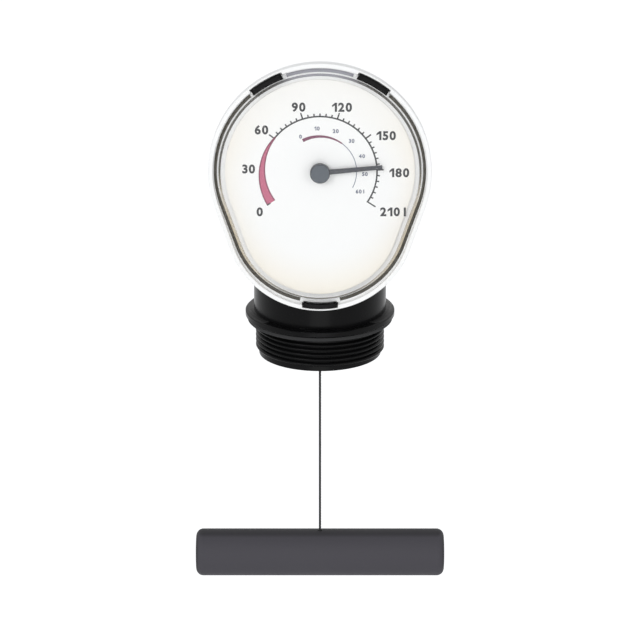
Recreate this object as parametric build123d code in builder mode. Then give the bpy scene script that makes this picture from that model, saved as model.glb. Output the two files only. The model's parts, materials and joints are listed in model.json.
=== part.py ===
from build123d import *
import math
import os

# Float-and-cord level gauge for a drum with a G2 bung.
# Millimetres. Origin on the neck's axis in the plane where the seal meets the bung.
# +Z is up, the dial faces -Y, +X is to the reader's right.
# Depths are called "front": the distance forward of the neck's axis, towards the reader.

# ---- Threaded neck ----
thread_radius = 29.8          # outside radius of the G2 thread
thread_length = 16.0
thread_chamfer = 1.0
seal_groove_radius = 28.4
stub_bore_radius = 25.5
floor_thickness = 2.0
neck_radius = 30.5
neck_wall = 2.5
neck_height = 46.0            # where the round neck turns into its dome
seat_flange_radius = 34.5
seat_flange_thickness = 3.0
seat_flange_edge = 0.6

# ---- Seal ring ----
seal_thickness = 2.0
seal_radius = 33.5
seal_clearance = 0.3
seal_edge = 0.4

# ---- Egg-shaped head: an upper and a lower circle joined by their tangents ----
head_clearance = 15.5         # from the seat to the lowest point of the head
upper_radius = 47.0           # outline of the clear cover
lower_radius = 40.0
circle_drop = 22.0
lip_width = 2.5               # the white lip outside the cover

# ---- Case behind the head: as wide as the reel needs above, as wide as the neck below ----
reel_room = 4.0               # from the reel's flange to the case's inside
case_wall = 2.5
case_corner = 9.0
head_flange_thickness = 2.5
head_flange_inset = 0.3
neck_tray_gap = 0.5           # from the neck's front to the tray

# ---- Snap hooks ----
hook_width = 15.0
hook_gap = 0.2
hook_thickness = 1.2
hook_grip = 1.6
hook_nose = 2.0
hook_edge = 0.6
hook_lean = 30.0              # the two upper hooks, either side of the top
hook_side_room = 0.6
hook_depth_room = 0.3
hook_cover_gap = 0.1          # from the cover's flange to the hooks' noses

# ---- Dial tray, dial plate and cover ----
tray_floor = 2.0
lip_height = 2.6
lip_gap = 0.45
lip_edge = 0.4
dial_thickness = 0.8
dial_gap = 0.4
cover_flange_width = 3.0
cover_flange_thickness = 1.8
cover_wall = 1.6
cover_height = 8.0
cover_corner = 2.2
cover_notch = 0.8
cover_notch_room = 1.2

# ---- Tray screws ----
tray_screw_radius = 1.25
tray_screw_head_radius = 2.4
tray_screw_head = 1.4
tray_screw_length = 9.0
tray_screw_inset = 7.2
tray_screw_hole = 1.4
tray_boss_radius = 2.6
tray_boss_end = 1.2
upper_screw_angle = 15.0
lower_screw_angle = -42.0
slot_width = 0.6
slot_depth = 0.6

# ---- Scale and travel ----
full_volume = 210.0            # litres
rest_volume = 179.0           # litres shown at rest
full_depth = 819.0            # liquid depth at full scale
scale_sweep = 240.0           # degrees
scale_start = 210.0           # degrees, anticlockwise from the reader's right

# ---- Gear train ----
module = 0.5
pressure_angle = 20.0
pinion_teeth = 12
idler_teeth = 42
pointer_teeth = 48
profile_shift = 0.3
tooth_backlash = 0.05         # taken off each flank
train_ratio = idler_teeth / pinion_teeth * pointer_teeth / pinion_teeth

# ---- Cord, reel and spring ----
cord_radius = 0.6
cord_gap = 0.1
cord_side_gap = 0.03
wound_turns = 9
spare_turns = 2
reel_flange_radius = 17.0
reel_flange_thickness = 1.2
reel_flange_edge = 0.4
reel_drum_wall = 2.0
reel_web = 1.2
spring_cover_thickness = 1.4
spring_thickness = 0.25
spring_coils = 8
spring_end_gap = 0.5
spring_side_gap = 0.3
running_gap = 0.05
shoulder_gap = 0.2

# ---- Movement frame ----
plate_thickness = 1.6
plate_gap = 1.2
plate_edge_gap = 1.2
plate_bottom = -23.0          # from the pointer's axis
plate_corner = 3.0
rear_plate_gap = 0.8
wheel_thickness = 2.2
gear_gap = 0.6
pinion_overlap = 0.4
wheel_gap = 0.8
pointer_wheel_thickness = 2.4
pinion_hole_gap = 0.55
spacer_radius = 2.5
spacer_inset = 5.5            # from the case's inside to the spacers' centres
spacer_angles = (60.0, 150.0, 210.0, -40.0)
screw_radius = 1.5
screw_clearance = 0.1
screw_head_radius = 2.8
screw_head = 2.0
screw_tip_wall = 1.5          # plastic left behind the screws' tips
boss_radius = 3.2
boss_length = 3.9

# ---- Shafts ----
axle_radius = 2.2
axle_front_radius = 1.0
axle_rear_radius = 1.5
rivet_height = 0.8
idler_axle_radius = 0.75
pointer_shaft_radius = 1.0
pointer_journal_radius = 0.6
bush_radius = 2.4
bush_flange_radius = 4.0
bush_flange_thickness = 1.2
bush_hole_gap = 0.4
bush_end_gap = 0.4

# ---- Wheels' lightening holes ----
wheel_holes = 5
idler_hole_radius = 1.9
idler_hole_circle = 6.4
pointer_hole_radius = 2.2
pointer_hole_circle = 7.2
pointer_hub_radius = 2.4
pointer_hub_length = 1.0

# ---- Pointer ----
pointer_gap = 1.4             # from the dial to the pointer
pointer_cap_radius = 4.4
pointer_cap_height = 2.6
pointer_cap_edge = 0.4
pointer_cap_roof = 0.8
needle_length = 27.7
needle_width = 2.2
needle_tip_width = 1.7
needle_thickness = 0.9

# ---- Cord guide, float and cord stop ----
guide_radius = 3.0
guide_flange_radius = 4.5
guide_flange_thickness = 1.0
guide_bore_radius = 1.0
guide_bore_edge = 0.35
float_length = 118.0
float_radius = 11.2
float_corner = 3.4
float_depth = 107.0           # from the seat down to the float's top at rest
float_bore_radius = 1.0
float_recess_radius = 2.6
float_recess_depth = 5.0
stop_radius = 2.2
stop_height = 4.0
stop_edge = 0.5

# ---- Places worked out from the sizes above ----
hub_height = head_clearance + lip_width + lower_radius + circle_drop
tray_back = neck_radius + neck_tray_gap
head_flange_back = tray_back - head_flange_thickness
tray_front = tray_back + tray_floor
cover_flange_front = tray_front + cover_flange_thickness
dial_front = tray_front + dial_thickness
hook_inner = hook_gap - hook_grip
hook_outer = hook_gap + hook_thickness
hook_front = cover_flange_front + hook_cover_gap + hook_nose

reel_pitch_radius = full_depth / (2 * math.pi * scale_sweep / 360 * train_ratio)
reel_drum_radius = reel_pitch_radius - cord_radius - cord_side_gap
reel_cup_radius = reel_drum_radius - reel_drum_wall
case_inner_radius = reel_pitch_radius + reel_flange_radius + reel_room
spacer_circle = case_inner_radius - spacer_inset
idler_distance = module * (pinion_teeth + idler_teeth) / 2
pointer_distance = module * (pinion_teeth + pointer_teeth) / 2

winding_back = cord_radius + cord_gap
winding_front = winding_back + 2 * cord_radius * wound_turns
reel_front = winding_front + cord_gap + reel_flange_thickness
reel_back = -(cord_radius + 2 * cord_radius * spare_turns) - reel_flange_thickness
middle_plate_back = reel_front + plate_gap
middle_plate_front = middle_plate_back + plate_thickness
idler_wheel_back = middle_plate_front + gear_gap
idler_wheel_front = idler_wheel_back + wheel_thickness
reel_pinion_front = idler_wheel_front + pinion_overlap
pointer_wheel_back = idler_wheel_front + wheel_gap
pointer_wheel_front = pointer_wheel_back + pointer_wheel_thickness
idler_pinion_front = pointer_wheel_front + pinion_overlap
front_plate_back = idler_pinion_front + pinion_overlap
front_plate_front = front_plate_back + plate_thickness
rear_plate_front = reel_back - rear_plate_gap
rear_plate_back = rear_plate_front - plate_thickness
case_inner_back = rear_plate_back - boss_length
case_back = case_inner_back - case_wall
reel_cup_front = reel_front - reel_flange_thickness - reel_web

pointer_back = dial_front + pointer_gap
pointer_cap_front = pointer_back + pointer_cap_height
shaft_front = pointer_cap_front - pointer_cap_roof
rest_angle = scale_start - scale_sweep * rest_volume / full_volume

float_height = -float_depth - float_radius
cord_end = float_height - float_radius + float_recess_depth
guide_bottom = -thread_length
cord_split = guide_bottom + floor_thickness / 2

# Centres in the dial's plane, measured from the pointer's axis.
pointer_centre = (0.0, 0.0)
reel_centre = (reel_pitch_radius, 0.0)
idler_x = (pointer_distance**2 - idler_distance**2 + reel_pitch_radius**2) / (2 * reel_pitch_radius)
idler_centre = (idler_x, -math.sqrt(pointer_distance**2 - idler_x**2))

FROM_BASE = (Align.CENTER, Align.CENTER, Align.MIN)

os.makedirs("parts", exist_ok=True)


def dial_plane(front, centre=(0.0, 0.0), angle=0.0):
    """A plane parallel to the dial, its normal towards the reader, centred on a shaft."""
    turn = math.radians(angle)
    origin = (centre[0], -front, hub_height + centre[1])
    return Plane(origin=origin, x_dir=(math.cos(turn), 0, math.sin(turn)), z_dir=(0, -1, 0))


def shaft_plane(centre):
    """A plane through a shaft: local x runs forward along it, local y is the radius."""
    return Plane(origin=(centre[0], 0, hub_height + centre[1]), x_dir=(0, -1, 0), z_dir=(-1, 0, 0))


def direction(start, end):
    """The angle in degrees of the line from one centre to another."""
    return math.degrees(math.atan2(end[1] - start[1], end[0] - start[0]))


def on_circle(radius, angle, centre=(0.0, 0.0)):
    """The point at an angle on a circle."""
    turn = math.radians(angle)
    return (centre[0] + radius * math.cos(turn), centre[1] + radius * math.sin(turn))


class Egg(BaseSketchObject):
    """Two circles round the pointer's axis and below it, joined by their outer tangents."""

    def __init__(self, upper, lower, rotation=0, align=None, mode=Mode.ADD):
        slope = math.degrees(math.asin((upper - lower) / circle_drop))
        low_centre = (0, -circle_drop)
        with BuildSketch() as egg:
            with BuildLine():
                CenterArc((0, 0), upper, -slope, 180 + 2 * slope)
                Line(on_circle(upper, 180 + slope), on_circle(lower, 180 + slope, low_centre))
                CenterArc(low_centre, lower, 180 + slope, 180 - 2 * slope)
                Line(on_circle(lower, -slope, low_centre), on_circle(upper, -slope))
            make_face()
        super().__init__(obj=egg.sketch, rotation=rotation, align=align, mode=mode)


class HeadOutline(Egg):
    """The head's outline, grown or shrunk evenly all round."""

    def __init__(self, grow=0.0, rotation=0, align=None, mode=Mode.ADD):
        super().__init__(upper_radius + grow, lower_radius + grow, rotation, align, mode)


class CaseOutline(Egg):
    """The inside of the case, grown or shrunk evenly all round."""

    def __init__(self, grow=0.0, rotation=0, align=None, mode=Mode.ADD):
        inner_lower_radius = neck_radius - case_wall
        super().__init__(case_inner_radius + grow, inner_lower_radius + grow, rotation, align, mode)


class Gear(BaseSketchObject):
    """An involute gear's outline with one tooth centred at the given angle."""

    def __init__(self, teeth, shift, tooth_angle, rotation=0, align=None, mode=Mode.ADD):
        pitch_radius = module * teeth / 2
        base_radius = pitch_radius * math.cos(math.radians(pressure_angle))
        root_radius = pitch_radius - module * (1.25 - shift)
        tip_radius = pitch_radius + module * (1 + shift)
        foot_radius = max(base_radius, root_radius)

        def involute(radius):
            flank = math.acos(min(1.0, base_radius / radius))
            return math.tan(flank) - flank

        thickness = module * (math.pi / 2 + 2 * shift * math.tan(math.radians(pressure_angle)))
        half_pitch_angle = (thickness / 2 - tooth_backlash) / pitch_radius

        def half_angle(radius):
            lead = involute(pitch_radius) - involute(max(radius, base_radius))
            return math.degrees(half_pitch_angle + lead)

        middle_radius = (foot_radius + tip_radius) / 2
        step = 360 / teeth
        with BuildSketch() as gear:
            with BuildLine():
                low, centre, high = (half_angle(r) for r in (foot_radius, middle_radius, tip_radius))
                for number in range(teeth):
                    mid = tooth_angle + number * step
                    for side in (-1, 1):
                        root = on_circle(root_radius, mid + side * low)
                        foot = on_circle(foot_radius, mid + side * low)
                        tip = on_circle(tip_radius, mid + side * high)
                        if foot_radius > root_radius:
                            Line(root, foot)
                        ThreePointArc(foot, on_circle(middle_radius, mid + side * centre), tip)
                    Line(on_circle(tip_radius, mid - high), tip)
                    Line(root, on_circle(root_radius, mid + step - low))
            make_face()
        super().__init__(obj=gear.sketch, rotation=rotation, align=align, mode=mode)


def disc(centre, radius, back, front, mode=Mode.ADD):
    """A round layer between two depths."""
    with BuildSketch(dial_plane(back, centre)) as layer:
        Circle(radius)
    extrude(layer.sketch, amount=front - back, mode=mode)


def turned(centre, steps):
    """A stepped shaft: each step is its back, its front and its radius."""
    with BuildSketch(shaft_plane(centre)) as section:
        for back, front, radius in steps:
            with Locations(((back + front) / 2, radius / 2)):
                Rectangle(front - back, radius)
    revolve(section.sketch, axis=Axis((centre[0], 0, hub_height + centre[1]), (0, -1, 0)))


def finish(builder, name):
    """Label a finished piece and write it."""
    builder.part.label = name
    export_step(builder.part, f"parts/{name}.step")


# Where each hook stands: the outline's circle and the angle on it.
hooks = (
    (pointer_centre, upper_radius, 90 + hook_lean),
    (pointer_centre, upper_radius, 90 - hook_lean),
    ((0.0, -circle_drop), lower_radius, 270.0),
)


def hook_area(hook, inner, outer, width, front):
    """The stretch of the rim at one hook, between two offsets of the outline, at a depth."""
    centre, radius, angle = hook
    with BuildSketch(dial_plane(front)) as area:
        HeadOutline(outer)
        HeadOutline(inner, mode=Mode.SUBTRACT)
        with Locations(Location(on_circle(radius, angle, centre), angle - 90)):
            Rectangle(width, 4 * (outer - inner), mode=Mode.INTERSECT)
    return area.sketch


tray_screw_spots = (
    on_circle(upper_radius - tray_screw_inset, upper_screw_angle),
    on_circle(upper_radius - tray_screw_inset, 180 - upper_screw_angle),
    on_circle(lower_radius - tray_screw_inset, lower_screw_angle, (0.0, -circle_drop)),
    on_circle(lower_radius - tray_screw_inset, 180 - lower_screw_angle, (0.0, -circle_drop)),
)
spacer_spots = [on_circle(spacer_circle, angle) for angle in spacer_angles]
tray_screw_end = tray_front - tray_screw_length
mechanism_screw_end = case_back + screw_tip_wall

# ---- The space inside the case, taken out of the housing below ----
with BuildPart() as case_space:
    with BuildSketch(dial_plane(case_inner_back)):
        CaseOutline()
    extrude(amount=tray_back - case_inner_back)
    fillet(case_space.faces().sort_by(Axis.Y)[-1].edges(), radius=case_corner - case_wall)

# ---- The space inside the neck: a wide bore under a dome, a narrower one in the stub ----
with BuildPart() as neck_space:
    bore_radius = neck_radius - neck_wall
    shoulder_height = seal_thickness + seat_flange_thickness
    with BuildSketch(Plane.XZ):
        with BuildLine():
            wall_line = Polyline(
                (0, floor_thickness - thread_length),
                (stub_bore_radius, floor_thickness - thread_length),
                (stub_bore_radius, seal_thickness),
                (bore_radius, shoulder_height),
                (bore_radius, neck_height),
            )
            inner_dome = CenterArc((0, neck_height), bore_radius, 0, 90)
            Line(inner_dome @ 1, wall_line @ 0)
        make_face()
    revolve(axis=Axis.Z)

# ---- Housing: neck, case, head flange and hooks in one moulding ----
with BuildPart() as housing:
    # Case: its lower circle is as wide as the neck.
    with BuildSketch(dial_plane(case_back)):
        CaseOutline(case_wall)
    extrude(amount=tray_back - case_back)
    fillet(housing.faces().sort_by(Axis.Y)[-1].edges(), radius=case_corner)
    # Neck, seat flange and threaded stub, with a dome over the neck.
    with BuildSketch(Plane.XZ):
        with BuildLine():
            edge = seat_flange_edge
            outline = Polyline(
                (0, -thread_length),
                (thread_radius - thread_chamfer, -thread_length),
                (thread_radius, thread_chamfer - thread_length),
                (thread_radius, 0),
                (seal_groove_radius, 0),
                (seal_groove_radius, seal_thickness),
                (seat_flange_radius - edge, seal_thickness),
                (seat_flange_radius, seal_thickness + edge),
                (seat_flange_radius, shoulder_height - edge),
                (seat_flange_radius - edge, shoulder_height),
                (neck_radius, shoulder_height),
                (neck_radius, neck_height),
            )
            dome = CenterArc((0, neck_height), neck_radius, 0, 90)
            Line(dome @ 1, outline @ 0)
        make_face()
    revolve(axis=Axis.Z)
    # Head flange behind the tray.
    with BuildSketch(dial_plane(head_flange_back)):
        HeadOutline(-head_flange_inset)
    extrude(amount=head_flange_thickness)
    # Bosses behind the flange for the tray screws.
    with BuildSketch(dial_plane(tray_screw_end - tray_boss_end)):
        with Locations(*tray_screw_spots):
            Circle(tray_boss_radius)
    extrude(amount=head_flange_back - tray_screw_end + tray_boss_end)
    # Hollow out the case and the neck.
    add(case_space.part, mode=Mode.SUBTRACT)
    add(neck_space.part, mode=Mode.SUBTRACT)
    # Bosses inside for the movement's screws, and their holes.
    with BuildSketch(dial_plane(case_inner_back - case_wall / 2)):
        with Locations(*spacer_spots):
            Circle(boss_radius)
    extrude(amount=boss_length + case_wall / 2)
    with BuildSketch(dial_plane(mechanism_screw_end)):
        with Locations(*spacer_spots):
            Circle(screw_radius)
    extrude(amount=rear_plate_back - mechanism_screw_end, mode=Mode.SUBTRACT)
    with BuildSketch(dial_plane(tray_screw_end)):
        with Locations(*tray_screw_spots):
            Circle(tray_screw_radius)
    extrude(amount=tray_back - tray_screw_end, mode=Mode.SUBTRACT)
    # Seat of the cord guide in the stub's floor.
    with Locations((0, 0, -thread_length)):
        Cylinder(guide_radius, floor_thickness, align=FROM_BASE, mode=Mode.SUBTRACT)
    # Hooks: a tab on the flange, an arm past the tray and a nose over the cover's flange.
    for hook in hooks:
        tab = hook_area(hook, hook_inner, hook_outer, hook_width, head_flange_back)
        extrude(tab, amount=head_flange_thickness)
        arm = hook_area(hook, hook_gap, hook_outer, hook_width, tray_back)
        extrude(arm, amount=hook_front - tray_back)
        nose = hook_area(hook, hook_inner, hook_outer, hook_width, hook_front - hook_nose)
        extrude(nose, amount=hook_nose)
    chamfer(housing.faces().group_by(Axis.Y)[0].edges(), length=hook_edge)
finish(housing, "housing")

# ---- Seal ring: slipped over the thread, under the seat flange ----
with BuildPart() as seal_ring:
    Cylinder(seal_radius, seal_thickness, align=FROM_BASE)
    Cylinder(thread_radius + seal_clearance, seal_thickness, align=FROM_BASE, mode=Mode.SUBTRACT)
    chamfer(seal_ring.edges().filter_by(GeomType.CIRCLE).group_by(SortBy.RADIUS)[-1], length=seal_edge)
finish(seal_ring, "seal_ring")

# ---- Cord guide: an eyelet in the stub's floor ----
with BuildPart() as cord_guide:
    with Locations((0, 0, guide_bottom)):
        Cylinder(guide_radius, floor_thickness, align=FROM_BASE)
    with Locations((0, 0, guide_bottom + floor_thickness)):
        Cylinder(guide_flange_radius, guide_flange_thickness, align=FROM_BASE)
    with Locations((0, 0, guide_bottom)):
        height = floor_thickness + guide_flange_thickness
        Cylinder(guide_bore_radius, height, align=FROM_BASE, mode=Mode.SUBTRACT)
    bore_edges = cord_guide.edges().filter_by(GeomType.CIRCLE).group_by(SortBy.RADIUS)[0]
    chamfer(bore_edges, length=guide_bore_edge)
finish(cord_guide, "cord_guide")

# ---- Dial tray: a flat floor with a lip round it, open at the hooks ----
with BuildPart() as dial_tray:
    with BuildSketch(dial_plane(tray_back)):
        HeadOutline(lip_width)
    extrude(amount=tray_floor + lip_height)
    with BuildSketch(dial_plane(tray_front)):
        HeadOutline(lip_gap)
    extrude(amount=lip_height, mode=Mode.SUBTRACT)
    fillet(dial_tray.faces().sort_by(Axis.Y)[0].edges(), radius=lip_edge)
    with BuildSketch(dial_plane(tray_back)):
        Circle(bush_radius + bush_hole_gap)
    extrude(amount=tray_floor, mode=Mode.SUBTRACT)
    with Locations(*[Location(dial_plane(tray_front, spot)) for spot in tray_screw_spots]):
        CounterSinkHole(
            radius=tray_screw_hole,
            counter_sink_radius=tray_screw_head_radius + screw_clearance,
            depth=tray_floor,
        )
    for hook in hooks:
        width = hook_width + 2 * hook_side_room
        inner = hook_gap - hook_depth_room
        slot = hook_area(hook, inner, hook_outer + hook_depth_room, width, tray_back)
        extrude(slot, amount=tray_floor + lip_height, mode=Mode.SUBTRACT)
finish(dial_tray, "dial_tray")

# ---- Tray screws: four countersunk screws ----
with BuildPart() as tray_screws:
    for spot in tray_screw_spots:
        disc(spot, tray_screw_radius, tray_screw_end, tray_front)
        with Locations(Location(dial_plane(tray_front - tray_screw_head, spot))):
            Cone(tray_screw_radius, tray_screw_head_radius, tray_screw_head, align=FROM_BASE)
        with Locations(Location(dial_plane(tray_front - slot_depth, spot))):
            Box(slot_width, 2 * tray_screw_head_radius, slot_depth, align=FROM_BASE, mode=Mode.SUBTRACT)
finish(tray_screws, "tray_screws")

# ---- Dial plate: the printed face, inside the cover's wall ----
with BuildPart() as dial_plate:
    with BuildSketch(dial_plane(tray_front)):
        HeadOutline(-cover_flange_width - cover_wall - dial_gap)
        Circle(bush_radius + bush_hole_gap, mode=Mode.SUBTRACT)
    extrude(amount=dial_thickness)
finish(dial_plate, "dial_plate")

# ---- Clear cover: a flange that the hooks grip and a raised window ----
with BuildPart() as clear_cover:
    with BuildSketch(dial_plane(tray_front)):
        HeadOutline(-cover_flange_width)
    extrude(amount=cover_height)
    fillet(clear_cover.faces().sort_by(Axis.Y)[0].edges(), radius=cover_corner)
    with BuildSketch(dial_plane(tray_front)):
        HeadOutline()
    extrude(amount=cover_flange_thickness)
    with BuildSketch(dial_plane(tray_front)):
        HeadOutline(-cover_flange_width - cover_wall)
    extrude(amount=cover_height - cover_wall, mode=Mode.SUBTRACT)
    for hook in hooks:
        width = hook_width + 2 * cover_notch_room
        notch = hook_area(hook, -cover_notch, lip_gap, width, tray_front)
        extrude(notch, amount=cover_flange_thickness, mode=Mode.SUBTRACT)
    ceiling = clear_cover.faces().filter_by(Axis.Y).group_by(Axis.Y)[1]
    fillet(ceiling.edges(), radius=cover_corner - cover_wall)
finish(clear_cover, "clear_cover")

# ---- Plates of the movement ----


def plate(back, holes):
    """One plate of the movement: the case's outline cut flat below, with round holes."""
    with BuildPart() as builder:
        with BuildSketch(dial_plane(back)):
            CaseOutline(-plate_edge_gap)
            with Locations((0, plate_bottom)):
                size = 2 * case_inner_radius
                Rectangle(size, size, align=(Align.CENTER, Align.MIN), mode=Mode.INTERSECT)
            with Locations(*spacer_spots):
                Circle(screw_radius + screw_clearance, mode=Mode.SUBTRACT)
            for centre, radius in holes:
                with Locations(centre):
                    Circle(radius, mode=Mode.SUBTRACT)
        extrude(amount=plate_thickness)
        fillet(builder.edges().filter_by(Axis.Y).group_by(Axis.Z)[0], radius=plate_corner)
    return builder


pinion_tip_radius = module * (pinion_teeth / 2 + 1 + profile_shift)
front_plate = plate(
    front_plate_back,
    [(pointer_centre, bush_radius), (reel_centre, axle_front_radius), (idler_centre, idler_axle_radius)],
)
finish(front_plate, "front_plate")
middle_plate = plate(
    middle_plate_back,
    [
        (pointer_centre, pointer_journal_radius + running_gap),
        (reel_centre, pinion_tip_radius + pinion_hole_gap),
        (idler_centre, idler_axle_radius),
    ],
)
finish(middle_plate, "middle_plate")
rear_plate = plate(rear_plate_back, [(reel_centre, axle_rear_radius)])
finish(rear_plate, "rear_plate")

# ---- Spacers between the plates, and the long screws through them ----
for number, spot in enumerate(spacer_spots, start=1):
    for side, back, front in (
        ("front", middle_plate_front, front_plate_back),
        ("rear", rear_plate_front, middle_plate_back),
    ):
        with BuildPart() as spacer:
            disc(spot, spacer_radius, back, front)
            disc(spot, screw_radius + screw_clearance, back, front, mode=Mode.SUBTRACT)
        finish(spacer, f"{side}_spacer_{number}")

with BuildPart() as mechanism_screws:
    for spot in spacer_spots:
        disc(spot, screw_radius, mechanism_screw_end, front_plate_front)
        disc(spot, screw_head_radius, front_plate_front, front_plate_front + screw_head)
        with Locations(Location(dial_plane(front_plate_front + screw_head - slot_depth, spot))):
            Box(slot_width, 2 * screw_head_radius, slot_depth, align=FROM_BASE, mode=Mode.SUBTRACT)
finish(mechanism_screws, "mechanism_screws")

# ---- Reel: cord drum, two flanges and a pinion in one moulding ----
with BuildPart() as reel:
    disc(reel_centre, reel_flange_radius, reel_front - reel_flange_thickness, reel_front)
    disc(reel_centre, reel_flange_radius, reel_back, reel_back + reel_flange_thickness)
    fillet(reel.edges().filter_by(GeomType.CIRCLE), radius=reel_flange_edge)
    disc(reel_centre, reel_drum_radius, reel_back, reel_front)
    disc(reel_centre, reel_cup_radius, reel_back, reel_cup_front, mode=Mode.SUBTRACT)
    with BuildSketch(dial_plane(reel_front, reel_centre)):
        Gear(pinion_teeth, profile_shift, direction(reel_centre, idler_centre))
    extrude(amount=reel_pinion_front - reel_front)
    front_bore = axle_front_radius + running_gap
    disc(reel_centre, front_bore, reel_cup_front, reel_pinion_front, mode=Mode.SUBTRACT)
finish(reel, "reel")

# ---- Spring cover: closes the reel's cup and bears on the axle ----
with BuildPart() as spring_cover:
    spring_cover_front = reel_back + spring_cover_thickness
    disc(reel_centre, reel_cup_radius, reel_back, spring_cover_front)
    disc(reel_centre, axle_radius + running_gap, reel_back, spring_cover_front, mode=Mode.SUBTRACT)
finish(spring_cover, "spring_cover")

# ---- Reel axle: fixed in the rear and front plates ----
with BuildPart() as reel_axle:
    turned(
        reel_centre,
        [
            (rear_plate_back - rivet_height, rear_plate_back, axle_radius),
            (rear_plate_back, rear_plate_front, axle_rear_radius),
            (rear_plate_front, reel_cup_front - shoulder_gap, axle_radius),
            (reel_cup_front - shoulder_gap, front_plate_front, axle_front_radius),
        ],
    )
finish(reel_axle, "reel_axle")

# ---- Return spring: a flat strip coiled in half turns of growing radius ----
with BuildPart() as return_spring:
    spring_back = spring_cover_front + spring_end_gap
    spring_front = reel_cup_front - spring_end_gap
    half = spring_thickness / 2
    first_radius = axle_radius + spring_side_gap
    coil_pitch = (reel_cup_radius - spring_side_gap - half - first_radius) / (spring_coils + 0.5)
    with BuildSketch(dial_plane(spring_back, reel_centre)):
        with BuildLine():
            for turn in range(2 * spring_coils):
                middle = (turn % 2) * coil_pitch / 2
                radius = first_radius + turn * coil_pitch / 2
                start = 180 * (turn % 2)
                CenterArc((middle, 0), radius - half, start, 180)
                CenterArc((middle, 0), radius + half, start, 180)
            Line((first_radius - half, 0), (first_radius + half, 0))
            last_radius = first_radius + spring_coils * coil_pitch
            Line((last_radius - half, 0), (last_radius + half, 0))
        make_face()
    extrude(amount=spring_front - spring_back)
finish(return_spring, "return_spring")

# ---- Cord on the reel: one layer of turns side by side, as a plain sleeve ----
with BuildPart() as cord_winding:
    disc(reel_centre, reel_pitch_radius + cord_radius, winding_back, winding_front)
    disc(reel_centre, reel_drum_radius, winding_back, winding_front, mode=Mode.SUBTRACT)
finish(cord_winding, "cord_winding")

# ---- Idler: axle and compound gear ----
with BuildPart() as idler_axle:
    disc(idler_centre, idler_axle_radius, middle_plate_back, front_plate_front)
finish(idler_axle, "idler_axle")

to_reel = direction(idler_centre, reel_centre)
to_pointer = direction(idler_centre, pointer_centre)
with BuildPart() as idler_gear:
    with BuildSketch(dial_plane(idler_wheel_back, idler_centre)):
        Gear(idler_teeth, -profile_shift, to_reel + 180 / idler_teeth)
        with PolarLocations(idler_hole_circle, wheel_holes):
            Circle(idler_hole_radius, mode=Mode.SUBTRACT)
    extrude(amount=wheel_thickness)
    with BuildSketch(dial_plane(idler_wheel_front, idler_centre)):
        Gear(pinion_teeth, profile_shift, to_pointer)
    extrude(amount=idler_pinion_front - idler_wheel_front)
    idler_bore = idler_axle_radius + running_gap
    disc(idler_centre, idler_bore, idler_wheel_back, idler_pinion_front, mode=Mode.SUBTRACT)
finish(idler_gear, "idler_gear")

# ---- Pointer's bush, shaft and wheel ----
with BuildPart() as pointer_bush:
    bush_front = tray_front - bush_end_gap
    bush_bore = pointer_shaft_radius + running_gap
    bush_flange_front = front_plate_front + bush_flange_thickness
    disc(pointer_centre, bush_radius, front_plate_back, bush_front)
    disc(pointer_centre, bush_flange_radius, front_plate_front, bush_flange_front)
    disc(pointer_centre, bush_bore, front_plate_back, bush_front, mode=Mode.SUBTRACT)
finish(pointer_bush, "pointer_bush")

hub_back = pointer_wheel_back - pointer_hub_length
with BuildPart() as pointer_shaft:
    turned(
        pointer_centre,
        [
            (middle_plate_back, hub_back, pointer_journal_radius),
            (hub_back, shaft_front, pointer_shaft_radius),
        ],
    )
finish(pointer_shaft, "pointer_shaft")

with BuildPart() as pointer_gear:
    with BuildSketch(dial_plane(pointer_wheel_back)):
        to_idler = direction(pointer_centre, idler_centre)
        Gear(pointer_teeth, -profile_shift, to_idler + 180 / pointer_teeth)
        with PolarLocations(pointer_hole_circle, wheel_holes):
            Circle(pointer_hole_radius, mode=Mode.SUBTRACT)
    extrude(amount=pointer_wheel_thickness)
    disc(pointer_centre, pointer_hub_radius, hub_back, pointer_wheel_back)
    disc(pointer_centre, pointer_shaft_radius, hub_back, pointer_wheel_front, mode=Mode.SUBTRACT)
finish(pointer_gear, "pointer_gear")

# ---- Pointer: a round cap with a flat needle ----
with BuildPart() as pointer:
    with BuildSketch(dial_plane(pointer_back, angle=rest_angle)):
        with BuildLine():
            Polyline(
                (0, -needle_width / 2),
                (needle_length, -needle_tip_width / 2),
                (needle_length, needle_tip_width / 2),
                (0, needle_width / 2),
                close=True,
            )
        make_face()
    extrude(amount=needle_thickness)
    disc(pointer_centre, pointer_cap_radius, pointer_back, pointer_cap_front)
    chamfer(pointer.faces().sort_by(Axis.Y)[0].edges(), length=pointer_cap_edge)
    disc(pointer_centre, pointer_shaft_radius, pointer_back, shaft_front, mode=Mode.SUBTRACT)
finish(pointer, "pointer")

# ---- Cord: the run inside the housing and the run that hangs from the guide ----
with BuildPart() as cord_upper:
    with Locations((0, 0, cord_split)):
        Cylinder(cord_radius, hub_height - cord_split, align=FROM_BASE)
finish(cord_upper, "cord_upper")

with BuildPart() as hanging_cord:
    with Locations((0, 0, cord_end)):
        Cylinder(cord_radius, cord_split - cord_end, align=FROM_BASE)
finish(hanging_cord, "hanging_cord")

# ---- Float: a bar that hangs level from its middle ----
with BuildPart() as float_bar:
    with Locations(Location((0, 0, float_height), (0, 90, 0))):
        Cylinder(float_radius, float_length)
    fillet(float_bar.edges().filter_by(GeomType.CIRCLE), radius=float_corner)
    with Locations((0, 0, float_height)):
        Cylinder(float_bore_radius, 2 * float_radius, mode=Mode.SUBTRACT)
    with Locations((0, 0, float_height - float_radius)):
        Cylinder(float_recess_radius, float_recess_depth, align=FROM_BASE, mode=Mode.SUBTRACT)
finish(float_bar, "float")

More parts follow.
